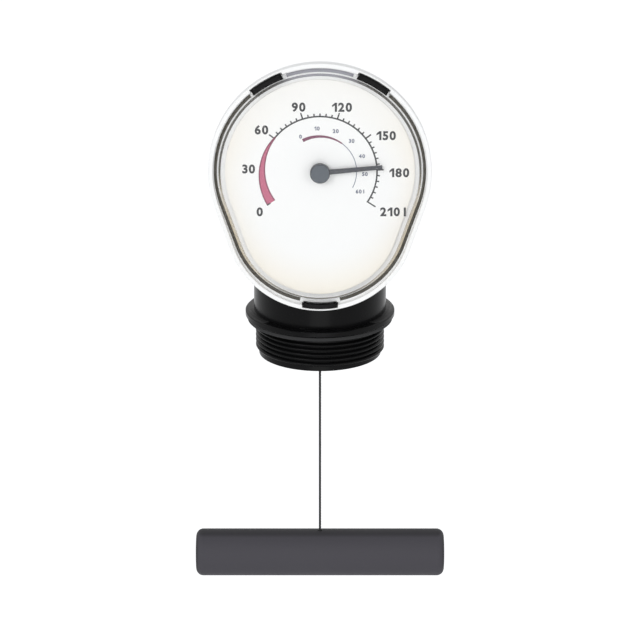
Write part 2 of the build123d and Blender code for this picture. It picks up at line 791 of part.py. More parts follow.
# ---- Cord stop: the ferrule on the cord's end, drawn up into the float's recess ----
with BuildPart() as cord_stop:
    with Locations((0, 0, cord_end - stop_height)):
        Cylinder(stop_radius, stop_height, align=FROM_BASE)
    chamfer(cord_stop.edges().filter_by(GeomType.CIRCLE), length=stop_edge)
finish(cord_stop, "cord_stop")
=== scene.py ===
"""Dresses the packed frame of a drum level gauge: mouldings, clear cover, dial print, cord and studio."""

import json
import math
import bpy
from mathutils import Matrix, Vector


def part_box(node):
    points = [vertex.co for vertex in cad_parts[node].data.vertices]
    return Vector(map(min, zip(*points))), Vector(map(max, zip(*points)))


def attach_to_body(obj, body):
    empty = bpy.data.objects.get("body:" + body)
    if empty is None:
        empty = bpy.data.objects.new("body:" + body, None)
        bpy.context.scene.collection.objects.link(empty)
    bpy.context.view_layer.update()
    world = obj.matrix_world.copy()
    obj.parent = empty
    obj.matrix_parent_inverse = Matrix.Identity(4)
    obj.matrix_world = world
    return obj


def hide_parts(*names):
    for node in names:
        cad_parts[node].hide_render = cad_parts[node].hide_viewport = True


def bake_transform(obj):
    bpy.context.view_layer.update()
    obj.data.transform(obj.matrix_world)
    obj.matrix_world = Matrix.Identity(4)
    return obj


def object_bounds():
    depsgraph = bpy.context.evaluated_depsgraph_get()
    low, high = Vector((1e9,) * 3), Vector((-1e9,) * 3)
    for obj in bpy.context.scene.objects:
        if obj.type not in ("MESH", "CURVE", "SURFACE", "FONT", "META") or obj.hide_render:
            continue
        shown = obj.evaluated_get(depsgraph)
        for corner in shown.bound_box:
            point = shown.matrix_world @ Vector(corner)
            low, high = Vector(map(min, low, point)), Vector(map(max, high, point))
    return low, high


bl_info = {
    "name": "Drum level gauge",
    "version": (1, 0, 0),
    "blender": (4, 5, 0),
    "location": "View3D > Sidebar > Level gauge",
    "description": "Finishes a float-and-cord level gauge round its CAD frame",
    "category": "Object",
}

import bmesh
import bpy
from bpy.props import FloatProperty, FloatVectorProperty, IntProperty, PointerProperty
from mathutils import Matrix, Vector

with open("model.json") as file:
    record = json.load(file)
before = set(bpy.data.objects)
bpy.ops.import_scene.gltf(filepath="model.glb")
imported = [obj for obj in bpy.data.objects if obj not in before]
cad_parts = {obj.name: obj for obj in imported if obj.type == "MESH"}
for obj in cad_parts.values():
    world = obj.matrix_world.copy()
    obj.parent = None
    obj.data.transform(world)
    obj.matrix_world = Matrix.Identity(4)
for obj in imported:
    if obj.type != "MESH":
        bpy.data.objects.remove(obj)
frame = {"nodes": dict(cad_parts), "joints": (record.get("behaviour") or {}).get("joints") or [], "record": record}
cad_low, cad_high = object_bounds()

MM = 0.001
ROOT = "gauge_head"
JOINTS = {joint["name"]: joint for joint in frame["joints"]}
HUB = Vector(JOINTS["pointer_spin"]["pos_m"])
SLIDE_RANGE = JOINTS["float_slide"]["range_m"]
COVER_LOW, COVER_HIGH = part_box("clear_cover")
DIAL_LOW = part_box("dial_plate")[0]
HOUSING_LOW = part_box("housing")[0]
SEAL_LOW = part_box("seal_ring")[0]
FLOAT_LOW, FLOAT_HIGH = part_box("float")
CORD_LOW, CORD_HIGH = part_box("hanging_cord")
UPPER_RADIUS = (COVER_HIGH.x - COVER_LOW.x) / 2
FULL_SCALE = 210.0
FINE_SCALE = 60.0
LOW_MARK_END = 60.0
FINE_LOW_MARK_END = 27.0
WHITE = (1.0, 1.0, 1.0)
BUMP_DEPTH = 0.1 * MM
FLOOR_SIDE = 18.0
# Each number of the main scale: its middle's distance from the hub in millimetres, and its direction in
# degrees.
NUMBER_PLACES = {
    0: (32.5, 214.4),
    30: (31.6, 177.4),
    60: (32.2, 143.2),
    90: (31.1, 107.6),
    120: (31.1, 71.9),
    150: (33.6, 29.8),
    180: (35.1, -0.5),
    210: (37.3, -29.5),
}


# ---- Sizes and colours that a user would change ----


def length(name, description, millimetres):
    """A length property with its default in millimetres."""
    default = millimetres * MM
    return FloatProperty(
        name=name, description=description, default=default, precision=5, subtype="DISTANCE", unit="LENGTH"
    )


def angle(name, description, degrees):
    """An angle property with its default in degrees."""
    return FloatProperty(
        name=name, description=description, default=math.radians(degrees), subtype="ANGLE", unit="ROTATION"
    )


def colour(name, description, rgb):
    """A linear colour property."""
    return FloatVectorProperty(
        name=name, description=description, default=rgb, size=3, min=0.0, max=1.0, subtype="COLOR"
    )


def power(name, description, watts):
    """A lamp's power."""
    return FloatProperty(name=name, description=description, default=watts, unit="POWER")


class GaugeFinish(bpy.types.PropertyGroup):
    """Colours of the mouldings, cover, print, pointer, float and cord."""

    black: colour("Black moulding", "Housing, neck and hooks", (0.0035, 0.0035, 0.0038))
    white: colour("White moulding", "Dial tray and its lip", (0.95, 0.95, 0.945))
    dial: colour("Dial face", "Middle of the dial plate", (0.95, 0.95, 0.94))
    # Painted reflection: the dial is painted warmer towards its edge, less so at the top.
    dial_rim: colour("Dial rim", "Warmer white towards the dial's edge", (0.93, 0.875, 0.765))
    clear: colour("Clear cover", "Window and flange of the cover", (0.93, 0.94, 0.95))
    # Painted reflection: a warm colour painted on the cover's lower sides, standing in for reflections in the
    # clear wall.
    clear_wall: colour("Cover wall", "Warm cast of the cover's side wall", (0.52, 0.43, 0.28))
    # Painted shade: a dark line painted at the cover's cut edges, where a clear edge only looks dark.
    clear_edge: colour("Cover edge", "Dark line at the cover's cut edges", (0.050, 0.044, 0.032))
    # Painted light: the dark edge lines are painted greyer at the top, where light enters the edge.
    clear_top: colour("Cover edge at the top", "Greyer where light enters the edge", (0.30, 0.30, 0.335))
    ink: colour("Black print", "Scale, ticks and numbers", (0.040, 0.041, 0.043))
    red_ink: colour("Red print", "Low-level mark", (0.56, 0.145, 0.235))
    red_line: colour("Red outline", "Darker outline of the low-level mark", (0.26, 0.07, 0.12))
    fine_red: colour("Dark red print", "Low mark of the small scale", (0.20, 0.062, 0.115))
    fine_ink: colour("Blue-grey print", "Small scale inside the main one", (0.16, 0.18, 0.25))
    cap: colour("Pointer cap", "Blue-grey cap in the middle", (0.055, 0.070, 0.088))
    needle: colour("Needle", "Dark needle", (0.016, 0.019, 0.028))
    foam: colour("Float", "Dark grey float bar", (0.060, 0.057, 0.067))
    # Painted shade: the float's rims are painted darker where its surface turns away.
    foam_edge: colour("Float edge", "Darker skin at the float's rims", (0.028, 0.027, 0.031))
    cord: colour("Cord", "Twisted cord", (0.030, 0.030, 0.032))


class GaugeSizes(bpy.types.PropertyGroup):
    """Sizes of the head's outline, the cover, the neck, the thread and the cord's lay."""

    lower_radius: length("Lower radius", "Radius of the head's lower circle", 40.0)
    hook_lean: angle("Hook lean", "Upper hooks, either side of the top", 30.0)
    notch_half_width: length("Notch half width", "Half the cover's notch at a hook", 8.7)
    notch_depth: length("Notch depth", "How far the notch reaches in", 0.8)
    flange_thickness: length("Flange thickness", "Cover's flange", 1.8)
    flange_width: length("Flange width", "From the cover's edge to its wall", 3.0)
    wall: length("Wall", "Thickness of the cover's wall and window", 1.6)
    cover_lift: length("Cover lift", "Film of air under the cover's flange", 0.03)
    # The edge bevel carries the painted dark shade line at the flange's edge.
    edge_bevel: length("Edge bevel", "Dark bevel on the flange's edge", 1.35)
    foot_bevel: FloatProperty(
        name="Foot bevel", description="How much wider the bevel is at the foot", default=0.42
    )
    # The root fillet carries the painted dark shade line where the wall meets the flange.
    root_bevel: length("Root bevel", "Dark fillet where wall meets flange", 0.95)
    window_corner: length("Window corner", "Rounding round the window", 2.2)
    neck_radius: length("Neck radius", "The housing's round neck", 30.5)
    thread_pitch: length("Thread pitch", "Eleven turns an inch", 25.4 / 11)
    thread_root: length("Thread root", "Radius between the turns", 28.33)
    cord_lay: length("Cord lay", "Length of one turn of the cord's strands", 4.2)


class GaugeDial(bpy.types.PropertyGroup):
    """Sizes of the printed scales."""

    print_thickness: length("Print thickness", "Height of the ink", 0.04)
    start: angle("Scale start", "Zero, anticlockwise from the reader's right", 213.25)
    sweep: angle("Scale sweep", "From empty to full", 246.5)
    arc_radius: length("Scale radius", "Inner edge of the scale's line", 24.9)
    arc_width: length("Scale line", "Width of the scale's line", 0.7)
    minor_tick: length("Short tick", "Every five litres", 1.1)
    major_tick: length("Long tick", "Every thirty litres", 2.7)
    end_tick: length("End tick", "At full", 4.0)
    zero_tick: length("Zero tick", "The dark dot at the foot of the low mark", 1.8)
    tick_width: length("Tick width", "Width of a tick", 0.6)
    number_height: length("Number height", "Height of the digits", 3.9)
    mark_inset: length("Low mark inset", "How far the red mark reaches inside the scale's line", 1.15)
    mark_width: length("Low mark width", "Width of the red mark at zero", 3.7)
    fine_start: angle("Small scale start", "Zero of the small scale", 118.0)
    fine_sweep: angle("Small scale sweep", "Zero to sixty", 145.0)
    fine_radius: length("Small scale radius", "Radius of the small scale's line", 16.2)
    fine_number_radius: length("Small number radius", "Radius of the small numbers", 19.9)
    fine_zero_inset: length("Small zero inset", "How much nearer the hub the small zero is", 1.6)
    fine_number_height: length("Small number height", "Height of the small digits", 1.7)
    minor_step: IntProperty(name="Short step", description="Litres between short ticks", default=5)
    major_step: IntProperty(name="Long step", description="Litres between long ticks and numbers", default=30)


class GaugeStage(bpy.types.PropertyGroup):
    """Camera, lamps and floor."""

    elevation: angle("Camera elevation", "Above the dial's axis", 16.0)
    distance: length("Camera distance", "From the dial's centre", 1230.0)
    field: length("Field height", "Height seen at the gauge", 296.0)
    floor_gap: length("Floor gap", "Below the float's lowest travel", 12.0)
    key_power: power("Key lamp", "Soft lamp in front, to the left", 12.0)
    fill_power: power("Fill lamp", "Soft lamp to the right", 4.0)
    low_power: power("Low lamp", "Soft lamp low in front", 2.5)
    room_light: FloatProperty(name="Room light", description="Light from all round", default=0.55, min=0.0)


# ---- Node helpers, shared effects and materials ----


def new_node(tree, kind, **inputs):
    """Adds a node and feeds it."""
    return feed(tree, tree.nodes.new(kind), **inputs)


def feed(tree, node, **inputs):
    """Feeds a node's named inputs with values or sockets; an underscore stands for a space."""
    for name, value in inputs.items():
        put(tree, node.inputs[name.replace("_", " ")], value)
    return node


def put(tree, socket, value):
    """Sets a socket's value, or links another socket to it."""
    if isinstance(value, bpy.types.NodeSocket):
        tree.links.new(value, socket)
    elif socket.type == "RGBA":
        socket.default_value = (*value[:3], 1.0)
    else:
        socket.default_value = value


def math_node(tree, operation, first, second=0.0):
    """A Math node's result."""
    node = tree.nodes.new("ShaderNodeMath")
    node.operation = operation
    put(tree, node.inputs[0], first)
    put(tree, node.inputs[1], second)
    return node.outputs[0]


def vector_math(tree, operation, first, second):
    """A Vector Math node's result."""
    node = tree.nodes.new("ShaderNodeVectorMath")
    node.operation = operation
    put(tree, node.inputs[0], first)
    put(tree, node.inputs["Scale" if operation == "SCALE" else 1], second)
    return node.outputs["Value" if operation == "DISTANCE" else "Vector"]


def map_range(tree, value, low, high, to_low=0.0, to_high=1.0):
    """A smooth, clamped change of range."""
    node = new_node(
        tree, "ShaderNodeMapRange", Value=value, From_Min=low, From_Max=high, To_Min=to_low, To_Max=to_high
    )
    node.interpolation_type = "SMOOTHSTEP"
    return node.outputs["Result"]


def object_place(tree):
    """The shaded point in the piece's own coordinates."""
    return tree.nodes.new("ShaderNodeTexCoord").outputs["Object"]


def noise(tree, place, scale, detail, roughness, distortion=0.0):
    """Soft noise at a place."""
    node = new_node(tree, "ShaderNodeTexNoise", Vector=place, Scale=scale, Detail=detail, Roughness=roughness)
    put(tree, node.inputs["Distortion"], distortion)
    return node.outputs[0]


def mix_colour(tree, factor, first, second):
    """A blend of two colours."""
    node = tree.nodes.new("ShaderNodeMix")
    node.data_type = "RGBA"
    put(tree, node.inputs["Factor"], factor)
    put(tree, node.inputs[6], first)
    put(tree, node.inputs[7], second)
    return node.outputs[2]


def effect(name, inputs):
    """A node group that gives colour, roughness and normal; returns its tree, inputs and results."""
    group = bpy.data.node_groups.new(name, "ShaderNodeTree")
    for label, kind, default in inputs:
        socket = group.interface.new_socket(name=label, in_out="INPUT", socket_type="NodeSocket" + kind)
        socket.default_value = default
    for label, kind in (("Colour", "Color"), ("Roughness", "Float"), ("Normal", "Vector")):
        group.interface.new_socket(name=label, in_out="OUTPUT", socket_type="NodeSocket" + kind)
    return group, group.nodes.new("NodeGroupInput").outputs, group.nodes.new("NodeGroupOutput").inputs


def end_effect(group, given, result, swing, gain, relief, strength):
    """Ends a shared effect: the swing varies its roughness and colour, and the relief its normal."""
    rough = math_node(group, "MULTIPLY", swing, gain)
    put(group, result["Roughness"], math_node(group, "ADD", given["Roughness"], rough))
    shade = math_node(group, "ADD", swing, 1.0)
    put(group, result["Colour"], vector_math(group, "SCALE", given["Colour"], shade))
    bump = new_node(group, "ShaderNodeBump", Height=relief, Distance=BUMP_DEPTH, Strength=strength)
    put(group, result["Normal"], bump.outputs[0])


def build_moulded_grain():
    """Fine spark-eroded grain and slow flow marks of a moulding."""
    group, given, result = effect(
        "Moulded grain",
        [
            ("Grain Size", "Float", 0.6),
            ("Grain Depth", "Float", 0.02),
            ("Roughness", "Float", 0.4),
            ("Flow", "Float", 0.06),
            ("Colour", "Color", (0.5, 0.5, 0.5, 1.0)),
        ],
    )
    place = object_place(group)
    scale = math_node(group, "DIVIDE", 1 / MM, given["Grain Size"])
    grain = noise(group, place, scale, 2.0, 0.6)
    swing = math_node(group, "SUBTRACT", noise(group, place, 22.0, 3.0, 0.5, distortion=0.8), 0.5)
    swing = math_node(group, "MULTIPLY", swing, given["Flow"])
    end_effect(group, given, result, swing, 2.0, grain, given["Grain Depth"])


def build_turned_marks():
    """Fine concentric or drawn marks of machined metal, round the dial's axis."""
    group, given, result = effect(
        "Turned marks",
        [("Roughness", "Float", 0.3), ("Colour", "Color", (0.5, 0.5, 0.5, 1.0))],
    )
    place = object_place(group)
    stretch = new_node(group, "ShaderNodeMapping", Scale=(1.0, 1.0, 40.0), Vector=place).outputs[0]
    marks = noise(group, stretch, 90.0, 3.0, 0.6)
    stain = noise(group, place, 60.0, 3.0, 0.55)
    swing = math_node(group, "MULTIPLY", math_node(group, "SUBTRACT", stain, 0.5), 0.25)
    end_effect(group, given, result, swing, 1.0, marks, 0.12)


def principled(name):
    """A fresh material; returns it, its tree and its Principled BSDF."""
    material = bpy.data.materials.new(name)
    material.use_nodes = True
    tree = material.node_tree
    return material, tree, tree.nodes["Principled BSDF"]


def use_effect(tree, shader, name, **inputs):
    """Places a shared effect in a material and feeds the shader's colour, roughness and normal from it."""
    node = tree.nodes.new("ShaderNodeGroup")
    node.node_tree = bpy.data.node_groups[name]
    feed(tree, node, **inputs)
    shade, rough, normal = node.outputs
    feed(tree, shader, Base_Color=shade, Roughness=rough, Normal=normal)
    return node


def moulded(name, rgb, roughness, grain_size, grain_depth, flow, specular=0.5):
    """A moulded plastic or rubber; returns its tree and the node of its grain."""
    _, tree, shader = principled(name)
    grain = use_effect(
        tree,
        shader,
        "Moulded grain",
        Colour=rgb,
        Roughness=roughness,
        Grain_Size=grain_size,
        Grain_Depth=grain_depth,
        Flow=flow,
    )
    feed(tree, shader, Specular_IOR_Level=specular)
    return tree, grain


def metal(name, rgb, roughness):
    """A machined metal."""
    _, tree, shader = principled(name)
    use_effect(tree, shader, "Turned marks", Colour=rgb, Roughness=roughness)
    feed(tree, shader, Metallic=1.0)


def dial_material(finish):
    """White print stock, with a painted warm reflection towards the rim."""
    tree, grain = moulded("dial_face", finish.dial, 0.5, 0.3, 0.03, 0.012)
    place = object_place(tree)
    middle = (HUB.x, DIAL_LOW.y, HUB.z - 8 * MM)
    offset = vector_math(tree, "DISTANCE", place, middle)
    rim = map_range(tree, offset, 0.6 * UPPER_RADIUS, 1.15 * UPPER_RADIUS)
    height = new_node(tree, "ShaderNodeSeparateXYZ", Vector=place).outputs["Z"]
    # The painted warm reflection is weaker at the top of the dial.
    rim = math_node(tree, "MULTIPLY", rim, map_range(tree, height, HUB.z + 36 * MM, HUB.z + 4 * MM, 0.3, 1.0))
    put(tree, grain.inputs["Colour"], mix_colour(tree, rim, finish.dial, finish.dial_rim))


def clear_material(name, rgb, alpha, roughness=0.06, specular=0.5, low=None, top=None):
    """A clear plastic shown by its gloss and body colour; low (colour, alpha) paints a warm reflection on the
    lower sides, and top paints the colour greyer at the top.
    """
    material, tree, shader = principled(name)
    place = object_place(tree)
    rough = map_range(tree, noise(tree, place, 70.0, 3.0, 0.5), 0.3, 0.8, roughness, roughness * 1.8)
    spot = new_node(tree, "ShaderNodeSeparateXYZ", Vector=place).outputs
    body = rgb
    if low:
        # Painted reflection: a warm colour on the lower sides, which lie below the hub and away from the middle.
        height = map_range(tree, spot["Z"], HUB.z + 4 * MM, HUB.z - 20 * MM)
        side = map_range(tree, math_node(tree, "ABSOLUTE", spot["X"]), 14 * MM, 34 * MM, 0.15, 1.0)
        flank_painted_reflection = math_node(tree, "MULTIPLY", height, side)
        body = mix_colour(tree, flank_painted_reflection, body, low[0])
        alpha = map_range(tree, flank_painted_reflection, 0.0, 1.0, alpha, low[1])
    if top:
        # Painted light: the colour turns greyer towards the top of the cover.
        painted_light_crown = map_range(tree, spot["Z"], HUB.z + 0.80 * UPPER_RADIUS, HUB.z + 0.97 * UPPER_RADIUS)
        body = mix_colour(tree, painted_light_crown, body, top)
    # Light reaches the dial through the cover as if it weren't there.
    shadow = tree.nodes.new("ShaderNodeLightPath").outputs["Is Shadow Ray"]
    shown = math_node(tree, "MULTIPLY", math_node(tree, "SUBTRACT", 1.0, shadow), alpha)
    feed(tree, shader, Base_Color=body, Roughness=rough, Alpha=shown, IOR=1.49, Specular_IOR_Level=specular)
    material.surface_render_method = "BLENDED"


def foam_material(finish):
    """Dark grey float with painted shade at its rims."""
    tree, grain = moulded("float_foam", finish.foam, 0.68, 0.8, 0.22, 0.10, specular=0.25)
    middle = (FLOAT_LOW + FLOAT_HIGH) / 2
    half = (FLOAT_HIGH - FLOAT_LOW) / 2
    # Painted shade: the float darkens at its top, bottom and ends, where its surface turns away.
    painted_shade_reach, full = 1.6 * MM, 0.3 * MM
    spot = new_node(tree, "ShaderNodeSeparateXYZ", Vector=object_place(tree)).outputs
    height = math_node(tree, "ABSOLUTE", math_node(tree, "SUBTRACT", spot["Z"], middle.z))
    along = math_node(tree, "ABSOLUTE", spot["X"])
    rim = map_range(tree, height, half.z - painted_shade_reach, half.z - full)
    rim = math_node(tree, "MAXIMUM", rim, map_range(tree, along, half.x - painted_shade_reach, half.x - full))
    put(tree, grain.inputs["Colour"], mix_colour(tree, rim, finish.foam, finish.foam_edge))


def pointer_material(finish):
    """Blue-grey cap, darker needle."""
    tree, grain = moulded("pointer_lacquer", finish.cap, 0.42, 0.25, 0.05, 0.05)
    flat = vector_math(tree, "MULTIPLY", object_place(tree), (1.0, 0.0, 1.0))
    offset = vector_math(tree, "DISTANCE", flat, (HUB.x, 0.0, HUB.z))
    mask = map_range(tree, offset, 3.7 * MM, 4.3 * MM)
    put(tree, grain.inputs["Colour"], mix_colour(tree, mask, finish.cap, finish.needle))


# Matt screen print: roughness, grain size in millimetres, grain depth, flow and specular.
INK = (0.6, 0.15, 0.02, 0.08, 0.3)


class GAUGE_OT_materials(bpy.types.Operator):
    """Build the shared effects and every material"""

    bl_idname = "gauge.materials"
    bl_label = "Materials"

    def execute(self, context):
        finish = context.scene.gauge_finish
        build_moulded_grain()
        build_turned_marks()
        # Name, colour, roughness, grain size in millimetres, grain depth, flow and specular.
        for row in (
            ("black_moulding", finish.black, 0.26, 0.45, 0.08, 0.10, 0.09),
            ("white_moulding", finish.white, 0.38, 0.45, 0.05, 0.03, 0.5),
            ("acetal_moulding", (0.72, 0.71, 0.67), 0.42, 0.5, 0.04, 0.05, 0.5),
            ("seal_moulding", (0.022, 0.022, 0.023), 0.72, 0.35, 0.20, 0.10, 0.3),
            ("cord_fibre", finish.cord, 0.75, 0.12, 0.30, 0.20, 0.25),
            ("black_ink", finish.ink, *INK),
            ("red_ink", finish.red_ink, *INK),
            ("red_line_ink", finish.red_line, *INK),
            ("fine_ink", finish.fine_ink, *INK),
            ("fine_red_ink", finish.fine_red, *INK),
        ):
            moulded(*row)
        foam_material(finish)
        dial_material(finish)
        pointer_material(finish)
        # The warm colour on the lower sides is a painted reflection on the cover's wall, flange and root.
        flank_painted_reflection = (finish.clear_wall, 0.48)
        cut = {"roughness": 0.25, "specular": 0.15, "top": finish.clear_top}
        clear_material("clear_window", finish.clear, 0.03)
        clear_material("clear_wall", finish.clear, 0.04, low=flank_painted_reflection)
        clear_material("clear_flange", finish.clear, 0.04, low=(finish.clear_wall, 0.74))
        # Painted shade lines at the cover's cut edge and at the wall's root, painted greyer at the top.
        clear_material("clear_edge", finish.clear_edge, 0.92, **cut)
        clear_material("clear_root", finish.clear_edge, 0.85, low=flank_painted_reflection, **cut)
        metal("turned_brass", (0.68, 0.50, 0.22), 0.30)
        metal("bright_steel", (0.50, 0.50, 0.51), 0.28)
        return {"FINISHED"}


# ---- Mesh helpers ----


def dial_point(radius, turn, front):
    """A point on a circle round the pointer's axis, at a depth forward of the neck's axis."""
    return Vector((HUB.x + radius * math.cos(turn), -front, HUB.z + radius * math.sin(turn)))


def place_object(name, data):
    """An object of this data, linked to the scene."""
    made = bpy.data.objects.new(name, data)
    bpy.context.scene.collection.objects.link(made)
    return made


def plain_mesh(source):
    """The mesh that an object's curve or modifiers give; the object is removed."""
    bpy.context.view_layer.update()
    evaluated = source.evaluated_get(bpy.context.evaluated_depsgraph_get())
    mesh = bpy.data.meshes.new_from_object(evaluated)
    source.modifiers.clear()
    bpy.data.objects.remove(source)
    return mesh


def mesh_object(name, points, faces, materials, face_materials=None, smooth=False):
    """A mesh piece from points and faces, with its normals set outwards."""
    mesh = bpy.data.meshes.new(name)
    mesh.from_pydata([tuple(point) for point in points], [], faces)
    for material in materials:
        mesh.materials.append(bpy.data.materials[material])
    if face_materials:
        mesh.polygons.foreach_set("material_index", face_materials)
    work = bmesh.new()
    work.from_mesh(mesh)
    bmesh.ops.recalc_face_normals(work, faces=work.faces)
    work.to_mesh(mesh)
    work.free()
    if smooth:
        mesh.shade_smooth()
    mesh.update()
    return place_object(name, mesh)


def tube_faces(ring_count, ring_size):
    """Faces between like rings of points, with the ends closed."""
    faces = []
    for ring in range(ring_count - 1):
        for side in range(ring_size):
            a = ring * ring_size + side
            b = ring * ring_size + (side + 1) % ring_size
            faces.append((a, b, b + ring_size, a + ring_size))
    last = (ring_count - 1) * ring_size
    faces.append(tuple(range(ring_size)))
    faces.append(tuple(range(last, last + ring_size)))
    return faces


def paint(node, material):
    """Gives a CAD node its material."""
    slots = frame["nodes"][node].data.materials
    slots.clear()
    slots.append(bpy.data.materials[material])


def join(name, parts):
    """Joins objects into one piece."""
    bpy.ops.object.select_all(action="DESELECT")
    for part in parts:
        part.select_set(True)
    bpy.context.view_layer.objects.active = parts[0]
    bpy.ops.object.join()
    parts[0].name = name
    parts[0].data.name = name
    return parts[0]


def attach(piece, body):
    """Makes a piece ride on a body."""
    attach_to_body(piece, body)


# ---- Housing and its thread ----


def round_neck(mesh, radius):
    """Turns the normals on the neck's cylinder straight outwards, so that its long facets shade as one."""
    normals = [Vector(corner.vector) for corner in mesh.corner_normals]
    for face in mesh.polygons:
        spots = [mesh.vertices[index].co for index in face.vertices]
        on_neck = all(abs(math.hypot(spot.x, spot.y) - radius) < 0.05 * MM for spot in spots)
        if on_neck and abs(face.normal.z) < 0.1:
            for corner, spot in zip(face.loop_indices, spots):
                normals[corner] = Vector((spot.x, spot.y, 0.0)).normalized()
    mesh.normals_split_custom_set(normals)


class GAUGE_OT_housing(bpy.types.Operator):
    """Copy the housing with its stub cut back to the thread's root"""

    bl_idname = "gauge.housing"
    bl_label = "Housing"

    def execute(self, context):
        sizes = context.scene.gauge_sizes
        mesh = frame["nodes"]["housing"].data.copy()
        piece = place_object("housing_moulding", mesh)
        touching = 0.001 * MM
        work = bmesh.new()
        work.from_mesh(mesh)
        bmesh.ops.remove_doubles(work, verts=work.verts, dist=touching)
        for vertex in work.verts:
            radius = math.hypot(vertex.co.x, vertex.co.y)
            if vertex.co.z < 0.01 * MM and radius > sizes.thread_root:
                vertex.co.x *= sizes.thread_root / radius
                vertex.co.y *= sizes.thread_root / radius
        bmesh.ops.remove_doubles(work, verts=work.verts, dist=touching)
        bmesh.ops.dissolve_degenerate(work, dist=touching, edges=work.edges)
        work.to_mesh(mesh)
        work.free()
        mesh.materials.clear()
        mesh.materials.append(bpy.data.materials["black_moulding"])
        mesh.shade_smooth()
        mesh.set_sharp_from_angle(angle=math.radians(28))
        even = piece.modifiers.new("Even shading", "WEIGHTED_NORMAL")
        even.keep_sharp = True
        context.view_layer.update()
        graph = context.evaluated_depsgraph_get()
        evaluated = piece.evaluated_get(graph)
        shaded = bpy.data.meshes.new_from_object(evaluated, preserve_all_data_layers=True, depsgraph=graph)
        piece.modifiers.remove(even)
        piece.data = shaded
        shaded.name = "housing_moulding"
        bpy.data.meshes.remove(mesh)
        round_neck(piece.data, sizes.neck_radius)
        attach(piece, ROOT)
        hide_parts("housing")
        return {"FINISHED"}


class GAUGE_OT_thread(bpy.types.Operator):
    """Wind the pipe thread round the stub"""

    bl_idname = "gauge.thread"
    bl_label = "Bung thread"

    def execute(self, context):
        sizes = context.scene.gauge_sizes
        mount = next(m for m in frame["record"]["mounts"] if m["name"] == "bung_thread")
        crest = mount["dims"]["r_mm"] * MM
        pitch = sizes.thread_pitch
        # The turns stop short of the seal and of the stub's foot.
        top = SEAL_LOW.z - 0.75 * pitch
        bottom = HOUSING_LOW.z + 0.62 * pitch
        turns = (top - bottom) / pitch
        steps_per_turn = 96
        count = int(turns * steps_per_turn)
        # The turns fade in and out over part of a turn at both ends.
        run_out, least_ease = 0.35, 0.02
        depth = crest - sizes.thread_root
        sunk = 0.3 * MM
        # Half heights of the ridge, from its foot in the stub to its rounded crest.
        profile = ((0.49, -sunk / depth), (0.44, 0.06), (0.17, 0.86), (0.06, 1.0))
        points = []
        for step in range(count + 1):
            turn = step / steps_per_turn
            height = top - turn * pitch
            ease = max(min(1.0, turn / run_out, (turns - turn) / run_out), least_ease)
            around = 2 * math.pi * turn
            outline = [(-h, r) for h, r in profile] + [(h, r) for h, r in reversed(profile)]
            for half, rise in outline:
                radius = sizes.thread_root + depth * (rise * ease if rise > 0 else rise)
                level = height + half * pitch * ease
                points.append(Vector((radius * math.cos(around), radius * math.sin(around), level)))
        faces = tube_faces(count + 1, 2 * len(profile))
        piece = mesh_object("bung_thread_turns", points, faces, ["black_moulding"], smooth=True)
        piece.data.set_sharp_from_angle(angle=math.radians(50))
        attach(piece, ROOT)
        return {"FINISHED"}


# ---- Clear cover ----


def spoke(turn):
    """The direction at an angle in the dial's plane, anticlockwise from the reader's right."""
    return Vector((math.cos(turn), 0.0, math.sin(turn)))


def egg_stations(sizes):
    """Points on the cover's outline with their outward directions, closed and anticlockwise."""
    drop = HUB.z - COVER_LOW.z - sizes.lower_radius
    slope = math.asin((UPPER_RADIUS - sizes.lower_radius) / drop)
    stations = []

    def arc(centre_z, radius, start, end, count):
        for step in range(count + 1):
            turn = start + (end - start) * step / count
            stations.append((Vector((HUB.x, 0.0, centre_z)) + spoke(turn) * radius, spoke(turn)))

    upper_steps, lower_steps = 260, 150
    arc(HUB.z, UPPER_RADIUS, -slope, math.pi + slope, upper_steps)
    arc(HUB.z - drop, sizes.lower_radius, math.pi + slope, 2 * math.pi - slope, lower_steps)
    return stations, drop


def hook_points(sizes, drop):
    """Where the three hooks cross the cover's outline, with the outline's direction there."""
    found = []
    for centre_z, radius, turn in (
        (HUB.z, UPPER_RADIUS, math.pi / 2 + sizes.hook_lean),
        (HUB.z, UPPER_RADIUS, math.pi / 2 - sizes.hook_lean),
        (HUB.z - drop, sizes.lower_radius, 1.5 * math.pi),
    ):
        found.append((Vector((HUB.x, 0.0, centre_z)) + spoke(turn) * radius, spoke(turn + math.pi / 2)))
    return found


# The finishes of the cover's bands; the edge and root finishes are painted dark shade lines, and the wall and
# flange carry a painted reflection on the lower sides.
COVER_FINISHES = ("clear_window", "clear_wall", "clear_edge", "clear_root", "clear_flange")
BEVEL_STEP = 2


